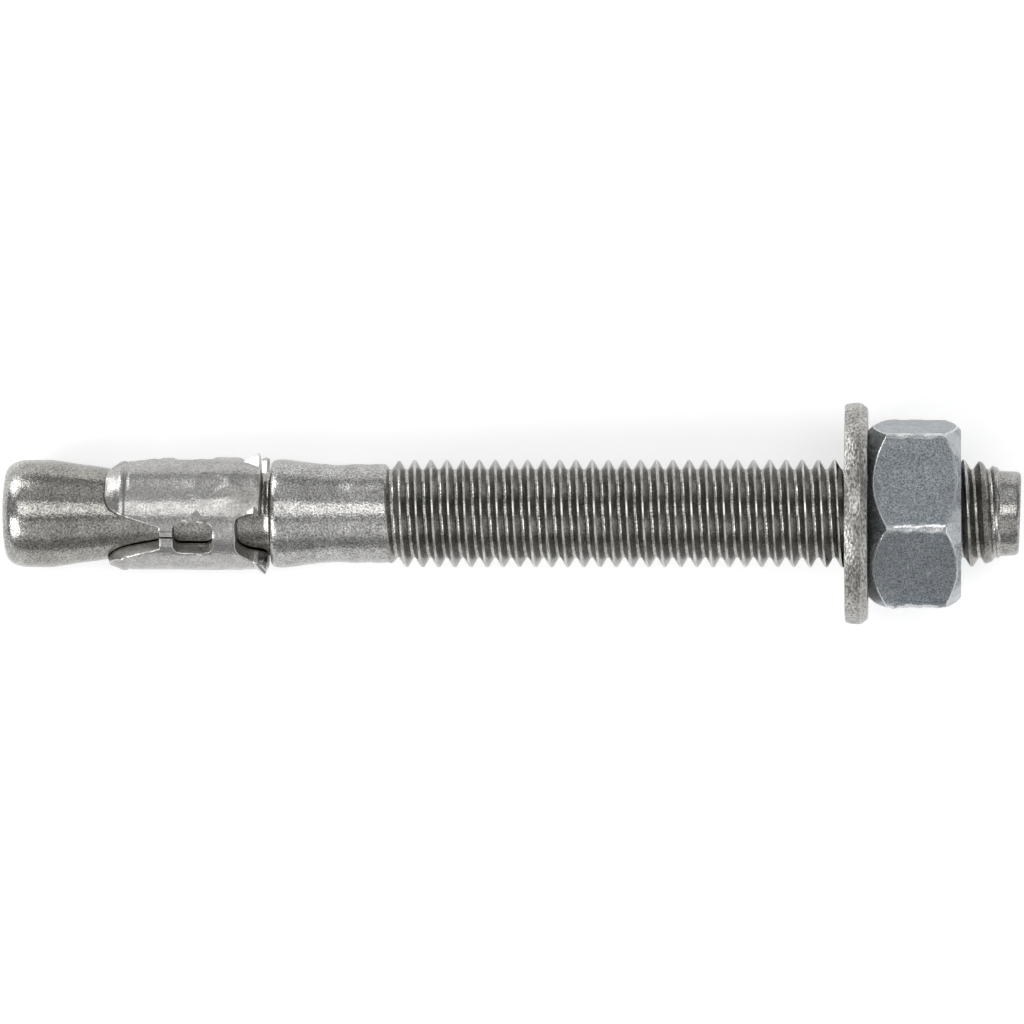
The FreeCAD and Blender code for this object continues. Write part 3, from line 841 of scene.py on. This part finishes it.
class AnchorClip(Operator):
    """Models the rolled expansion clip with its petals, scored lines, windows, notches and barbs"""

    bl_idname = "anchor_bolt.clip"
    bl_label = "Expansion clip"

    def execute(self, context):
        sizes = context.scene.anchor_clip
        wall = in_mm(sizes.wall)
        mesh = bmesh.new()
        for middle, stood_back, reach, flared_side in PETALS:
            mirrored = [(-turn, s) for turn, s in reversed(PETAL_EDGE) if turn]
            verts = []
            for turn, s in (*PETAL_EDGE, *STRAIGHT_REAR, *flared_side, *mirrored):
                s = reach_back(s, reach) + stood_back * (1 - eased(*FRONT_EDGE, s))
                verts.append(mesh.verts.new((along_strip(middle + turn), s, 0)))
            mesh.faces.new(verts)
        bmesh.ops.remove_doubles(mesh, verts=mesh.verts, dist=SEAM_GAP)
        ends = [along_strip(SLOT_LINES[0]), along_strip(SLOT_LINES[-1])]
        for vert in mesh.verts:
            if min(abs(vert.co.x - end) for end in ends) < SEAM_GAP:
                vert.co.x *= 1 - in_mm(sizes.seam_width) / 2 / abs(vert.co.x)
        stain_and_shade = mesh.faces.layers.float.new("stain_and_shade")
        painted_shade = mesh.faces.layers.float.new("painted_shade")
        foot = in_mm(sizes.foot_height)
        top = self.raise_faces(mesh, mesh.faces[:], foot, keep=True)
        rim = bmesh.ops.inset_region(mesh, faces=top, thickness=in_mm(sizes.foot_width), use_even_offset=True)
        # The narrow ledge of the burr round the strip's foot gets painted shade: a dark line along the cut
        # edges where the clip meets the stud.
        for face in rim["faces"]:
            face[painted_shade] = 1
        self.raise_faces(mesh, top, wall - foot)
        bmesh.ops.recalc_face_normals(mesh, faces=mesh.faces)
        for face in mesh.faces:
            face[stain_and_shade] = float(abs(face.normal.z) < 0.1)
        rims = [
            edge for edge in steep_edges(mesh, 60) if min(vert.co.z for vert in edge.verts) > wall - SEAM_GAP
        ]
        round_edges(mesh, rims, in_mm(sizes.edge_rounding))
        steps = (SCORE_SLIT, SCORE_RIM, score_reach(sizes))
        turns = [line + side * step for line in SLOT_LINES for side in (-1, 1) for step in steps]
        turns += [SLOT_LINES[0] + 2 * step for step in range(1, 180)]
        for turn in turns:
            self.cut(mesh, (turn, 0), (turn, 1))
        rows = [s for s, _ in CLIP_PROFILE[1:-3]]
        rows += SCORE_SPAN
        rows += [14.5 + 0.29 * step for step in range(50)]
        for s in rows:
            self.cut(mesh, (0, s), (1, s))
        for point, _, corners in MARKS:
            for corner, following in zip(corners, (*corners[1:], corners[0])):
                self.cut(mesh, point, corner, corners)
                self.cut(mesh, corner, following, corners)
        for vert in mesh.verts:
            angle, s, depth = degrees(vert.co.x / SURFACE_RADIUS), vert.co.y, wall - vert.co.z
            radius = inside = clip_inside(s, sizes)
            if vert.co.z < foot + TOUCHING:
                radius += vert.co.z
            else:
                radius = max(clip_outside(angle, s, sizes) - depth, inside + foot + THINNEST)
            vert.co = (radius * cos(radians(angle)), radius * sin(radians(angle)), s)
        roughen_edges(mesh, 0.06, 1.1, 61)
        self.mark_faces(mesh, stain_and_shade)
        finish = {
            "mottle": patches(700, 700, 2.2, 5),
            "speckle": patches(5200, 5200, 2.0, 6),
            "speckle_shade": (0.66, 1.36),
            "marks": {"stain_and_shade": 0.5, "wear_and_sheen": WEAR_AND_SHEEN_GLOSS, "painted_shade": PAINTED_SHADE_GLOSS},
            "bands": patches(160, 420, 2.0, 7),
            "pits": {"Pits per metre": 2600, "Amount": 0.45},
            "band_shade": (0.88, 1.1),
            "roughness": (0.3, 0.2),
            "heights": (0.7e-5, 1.8e-5, 2.4e-5, 1.5e-5),
        }
        finish_piece(
            mesh, "expansion_clip_rolled", "clip_body", "expansion_clip", "clip_steel", sizes, finish, 30
        )
        return {"FINISHED"}

    def raise_faces(self, mesh, faces, height, keep=False):
        """Raises some faces of the flat strip, and gives the faces on top."""
        raised = bmesh.ops.extrude_face_region(mesh, geom=faces, use_keep_orig=keep)["geom"]
        verts = [part for part in raised if isinstance(part, bmesh.types.BMVert)]
        bmesh.ops.translate(mesh, verts=verts, vec=(0, 0, height))
        if not keep:
            bmesh.ops.delete(mesh, geom=faces, context="FACES_ONLY")
        return [face for face in raised if isinstance(face, bmesh.types.BMFace)]

    def mark_faces(self, mesh, stain_and_shade):
        """Marks the scored lines as cut steel, a patch as dull and the barbs as rubbed bright."""
        wear_and_sheen = mesh.faces.layers.float["wear_and_sheen"]
        for face in mesh.faces:
            centre = face.calc_center_median()
            angle, s = degrees(atan2(centre.y, centre.x)), centre.z
            low, high = SLOT_LINES[0], SLOT_LINES[-1]
            angle = angle if low < angle < high else angle - 360
            off_line = min(abs(angle - line) for line in SLOT_LINES)
            if SCORE_SPAN[0] < s < SCORE_SPAN[1] and off_line < SCORE_STAIN:
                face[stain_and_shade] = 1
            dull = DULL_SHARE * eased(*DULL_START, s) * (1 - eased(*DULL_EDGE, abs(angle - DULL_MIDDLE)))
            face[stain_and_shade] = max(face[stain_and_shade], dull)
            if barb_height(angle, s) > BARB_FACE:
                face[wear_and_sheen] = 1

    def cut(self, mesh, start, end, around=()):
        """Cuts the flat strip along a line between two places, or only near some places."""
        (x, y), (far_x, far_y) = ((along_strip(turn), s) for turn, s in (start, end))
        faces = mesh.faces
        if around:
            low_x, high_x = (along_strip(side(turn for turn, _ in around)) for side in (min, max))
            low_y, high_y = (side(s for _, s in around) for side in (min, max))
            faces = [
                face
                for face in mesh.faces
                if any(low_x <= v.co.x <= high_x and low_y <= v.co.y <= high_y for v in face.verts)
            ]
        cut_faces(mesh, faces, (x, y, 0), (far_y - y, x - far_x, 0))


class AnchorWasher(Operator):
    """Models the flat washer"""

    bl_idname = "anchor_bolt.washer"
    bl_label = "Washer"

    def execute(self, context):
        sizes = context.scene.anchor_washer
        outer, bore = in_mm(sizes.diameter) / 2, in_mm(sizes.bore) / 2
        front = in_mm(sizes.place)
        back = front + in_mm(sizes.thickness)
        mesh = bmesh.new()
        points = (
            (bore, front),
            (outer - in_mm(sizes.rim_crown), front),
            (outer - in_mm(sizes.rim_crown) * 0.35, front + 0.45),
            (outer, front + 1.1),
            (outer, back - in_mm(sizes.chamfer_depth)),
            (outer - in_mm(sizes.chamfer_width), back),
            (bore, back),
        )
        turn_profile(mesh, points, 144)
        bmesh.ops.recalc_face_normals(mesh, faces=mesh.faces)
        round_edges(mesh, steep_edges(mesh, 25), in_mm(sizes.edge_rounding))
        roughen_edges(mesh, 0.05, 1.5, 41)
        finish = {
            "mottle": patches(600, 450, 2.4, 8),
            "speckle": patches(4800, 2600, 2.6, 9),
            "speckle_shade": (0.45, 1.55),
            "marks": {"wear_and_sheen": WEAR_AND_SHEEN_GLOSS},
            "bands": patches(900, 150, 2.0, 10),
            "pits": {"Pits per metre": 2600, "Amount": 0.7},
            "band_shade": (0.86, 1.1),
            "roughness": (0.4, 0.3),
            "heights": (3.2e-5, 5e-5, 2e-5, 3e-5),
        }
        finish_piece(mesh, "washer_stamped", "washer_body", "washer", "washer_steel", sizes, finish)
        return {"FINISHED"}


class AnchorNut(Operator):
    """Models the hex nut with its chamfered corners and its inner thread"""

    bl_idname = "anchor_bolt.nut"
    bl_label = "Hex nut"

    def execute(self, context):
        sizes = context.scene.anchor_nut
        stud = context.scene.anchor_stud
        seat, top = NUT_SEAT, NUT_SEAT + in_mm(sizes.height)
        sink = in_mm(sizes.countersink)
        mesh = bmesh.new()
        first_crest, pitch, crest, root = thread_of(stud)
        wind_thread(mesh, seat + sink, top - sink, first_crest, pitch, stud.columns)
        gap = in_mm(sizes.thread_clearance)
        for vert in mesh.verts:
            angle, s = angle_of(vert), vert.co.z
            radius = thread_radius(angle, s, first_crest, pitch, crest, root) + gap
            set_radius(vert, min(max(radius, NUT_CREST), crest + gap))
        face_radius = in_mm(sizes.face_diameter) / 2
        flat = in_mm(sizes.width) / 2
        corner = flat / cos(radians(30))
        for inner, end, chamfer in (
            (seat + sink, seat, in_mm(sizes.seat_chamfer)),
            (top - sink, top, -in_mm(sizes.outer_chamfer)),
        ):
            ring = ring_at(mesh, inner)
            ring = draw_ring(mesh, ring, NUT_MOUTH, inner)
            ring = draw_ring(mesh, ring, NUT_MOUTH + sink, end)
            for radius in (NUT_FACE_RING, face_radius):
                ring = draw_ring(mesh, ring, radius, end)
            for place in (end + chamfer, end + chamfer * 2.2):
                ring = draw_ring(mesh, ring, corner, place)
        rims = [edge for edge in mesh.edges if edge.is_boundary]
        bmesh.ops.bridge_loops(mesh, edges=rims)
        column = 2 * pi / stud.columns
        outside = [vert for vert in mesh.verts if radius_of(vert) > NUT_OUTSIDE]
        turned = Matrix.Rotation(sizes.corner_angle % column, 3, "Z")
        bmesh.ops.rotate(mesh, verts=outside, matrix=turned)
        self.shape_hexagon(mesh, sizes, seat, top, face_radius, flat, corner)
        bmesh.ops.recalc_face_normals(mesh, faces=mesh.faces)
        ridges = [edge for edge in steep_edges(mesh, 40) if innermost(edge) > corner - 0.1]
        round_edges(mesh, ridges, in_mm(sizes.ridge_rounding))
        wear_and_sheen = mesh.faces.layers.float["wear_and_sheen"]
        self.divide_ridges(mesh, wear_and_sheen, seat, top)
        roughen_edges(mesh, 0.24, 0.9, 51)
        arcs = [
            edge
            for edge in steep_edges(mesh, 12)
            if innermost(edge) > face_radius + 0.3 and not any(side[wear_and_sheen] for side in edge.link_faces)
        ]
        round_edges(mesh, arcs, in_mm(sizes.edge_rounding))
        roughen_edges(mesh, 0.04, 1.3, 55)
        # The outer chamfer's faces take part of the worn colour: a painted sheen that lightens the nut's
        # outer end.
        for side in mesh.faces:
            if 0.6 < side.normal.z < 0.97 and side.calc_center_median().xy.length > flat:
                side[wear_and_sheen] = max(side[wear_and_sheen], CHAMFER_SHEEN)
        finish = {
            "mottle": patches(1000, 1000, 2.8, 12),
            "speckle": patches(5600, 5600, 2.4, 13),
            "speckle_shade": (0.52, 1.5),
            "marks": {"wear_and_sheen": WEAR_AND_SHEEN_GLOSS},
            "bands": patches(110, 240, 1.8, 14),
            "pits": {"Pits per metre": 3600, "Amount": 0.5},
            "band_shade": (0.9, 1.08),
            "roughness": (0.4, 0.3),
            "heights": (1e-5, 2e-5, 1.4e-5, 1.6e-5),
        }
        flats = {
            side
            for side in mesh.faces
            if side[wear_and_sheen] < 0.4 and (abs(side.normal.z) > 0.999 or innermost(side) > flat - 0.3)
        }
        finish_piece(mesh, "hex_nut_formed", "nut_body", "hex_nut", "nut_steel", sizes, finish, flat=flats)
        return {"FINISHED"}

    def divide_ridges(self, mesh, wear_and_sheen, seat, top):
        """Gives the rounded corners points along their length, to be moved."""
        steps = int((top - seat - 2 * RIDGE_MARGIN) / RIDGE_STEP) + 1
        for place in (seat + RIDGE_START + RIDGE_STEP * step for step in range(steps)):
            cut_faces(mesh, [face for face in mesh.faces if face[wear_and_sheen]], (0, 0, place), (0, 0, 1))

    def shape_hexagon(self, mesh, sizes, seat, top, face_radius, flat, corner):
        """Moves the round blank's outside in to the six flats, and its chamfers with them."""
        for vert in mesh.verts:
            if radius_of(vert) > face_radius + 0.2:
                turn = (degrees(angle_of(vert) - sizes.corner_angle) % 60) - 30
                outer = flat / cos(radians(turn))
                share = (outer - face_radius) / (corner - face_radius)
                for end, chamfer in ((seat, sizes.seat_chamfer), (top, sizes.outer_chamfer)):
                    if abs(vert.co.z - end) <= in_mm(chamfer) * 1.1:
                        vert.co.z = end + (vert.co.z - end) * share
                set_radius(vert, outer)


class AnchorStage(Operator):
    """Sets the floor, the lamps, the surroundings and the camera"""

    bl_idname = "anchor_bolt.stage"
    bl_label = "Stage"

    def execute(self, context):
        settings = context.scene.anchor_stage
        self.lay_floor(settings)
        aim = TIP + ALONG * settings.camera_aim
        for name, power, width, height, distance, direction in (
            ("key_lamp", settings.key_power, 1.3, 0.6, 1.3, (0.98, -0.19, 0)),
            ("upper_fill_lamp", settings.fill_power, 1.0, 1.0, 1.4, (0.6, -0.8, 0)),
            ("lower_fill_lamp", settings.fill_power * 1.6, 1.0, 1.0, 1.4, (0.8, 0.6, 0)),
            ("upper_tip_lamp", settings.spot_power, 0.75, 0.75, 1.3, (0.28, -0.8, -0.53)),
            ("lower_tip_lamp", settings.spot_power * 1.2, 0.7, 0.8, 1.3, (0.64, 0.45, -0.62)),
            ("nut_end_lamp", settings.end_power, 1.0, 1.0, 1.4, (0.3, 0.35, 0.88)),
        ):
            lamp = bpy.data.lights.new(name, "AREA")
            lamp.shape = "RECTANGLE"
            lamp.size, lamp.size_y = width, height
            lamp.energy = power
            up, across, along = direction
            back = (UPWARD * up + ACROSS * across + ALONG * along).normalized()
            self.place(name, lamp, aim + back * distance, aim)
        camera = bpy.data.cameras.new("camera")
        camera.lens = camera.sensor_width / 2 / tan(settings.view_angle / 2)
        camera.clip_start, camera.clip_end = 0.05, 20
        foot = TIP + ALONG * settings.camera_foot
        target = aim - ACROSS * settings.camera_rise
        context.scene.camera = self.place("camera", camera, foot + UPWARD * settings.camera_distance, target)
        world = bpy.data.worlds.new("surroundings")
        world.use_nodes = True
        world.node_tree.nodes["Background"].inputs["Color"].default_value = (*settings.sky_colour, 1)
        context.scene.world = world
        context.scene.view_settings.view_transform = "Standard"
        return {"FINISHED"}

    def place(self, name, data, location, target):
        """Puts a lamp or the camera in its place, with the photograph's upper edge up."""
        back = (location - target).normalized()
        right = (-ACROSS).cross(back).normalized()
        axes = Matrix((right, back.cross(right), back)).transposed().to_4x4()
        thing = bpy.data.objects.new(name, data)
        thing.matrix_world = Matrix.Translation(location) @ axes
        bpy.context.scene.collection.objects.link(thing)
        return thing

    def lay_floor(self, settings):
        mesh = bmesh.new()
        bmesh.ops.create_circle(mesh, cap_ends=True, segments=64, radius=4)
        shape = bpy.data.meshes.new("floor")
        mesh.to_mesh(shape)
        mesh.free()
        floor = bpy.data.objects.new("floor", shape)
        bpy.context.scene.collection.objects.link(floor)
        material = bpy.data.materials.new("floor_paper")
        material.use_nodes = True
        tree = material.node_tree
        shader = next(node for node in tree.nodes if node.type == "BSDF_PRINCIPLED")
        shader.inputs["Base Color"].default_value = (*settings.floor_colour, 1)
        shader.inputs["Roughness"].default_value = 0.9
        shader.inputs["Specular IOR Level"].default_value = 0.0
        shader.inputs["Emission Color"].default_value = (1, 1, 1, 1)
        rays = add_node(tree, "ShaderNodeLightPath", "Rays")
        seen = add_node(tree, "ShaderNodeMath", "Seen or mirrored", operation="MAXIMUM")
        whitening = {1: settings.floor_whitening}
        lifted = add_node(tree, "ShaderNodeMath", "Whitening", whitening, operation="MULTIPLY")
        join(
            tree,
            (rays, "Is Camera Ray", seen, 0),
            (rays, "Is Glossy Ray", seen, 1),
            (seen, 0, lifted, 0),
            (lifted, 0, shader, "Emission Strength"),
        )
        shape.materials.append(material)


class AnchorPanel(Panel):
    bl_idname = "VIEW3D_PT_anchor_bolt"
    bl_label = "Anchor Bolt"
    bl_space_type = "VIEW_3D"
    bl_region_type = "UI"
    bl_category = "Anchor Bolt"

    def draw(self, context):
        for operator, name, settings in PARTS:
            box = self.layout.box()
            box.operator(operator.bl_idname)
            for setting in settings.__annotations__:
                box.prop(getattr(context.scene, name), setting)


PARTS = (
    (AnchorStage, "anchor_stage", StageSettings),
    (AnchorStud, "anchor_stud", StudSettings),
    (AnchorClip, "anchor_clip", ClipSettings),
    (AnchorWasher, "anchor_washer", WasherSettings),
    (AnchorNut, "anchor_nut", NutSettings),
)


def register():
    for operator, name, settings in PARTS:
        bpy.utils.register_class(settings)
        setattr(bpy.types.Scene, name, PointerProperty(type=settings))
        bpy.utils.register_class(operator)
    bpy.utils.register_class(AnchorPanel)


def unregister():
    bpy.utils.unregister_class(AnchorPanel)
    for operator, name, settings in reversed(PARTS):
        bpy.utils.unregister_class(operator)
        delattr(bpy.types.Scene, name)
        bpy.utils.unregister_class(settings)


def main():
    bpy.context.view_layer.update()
    register()
    bpy.ops.anchor_bolt.stage()
    bpy.ops.anchor_bolt.stud()
    bpy.ops.anchor_bolt.clip()
    bpy.ops.anchor_bolt.washer()
    bpy.ops.anchor_bolt.nut()


if __name__ == "__main__":
    main()
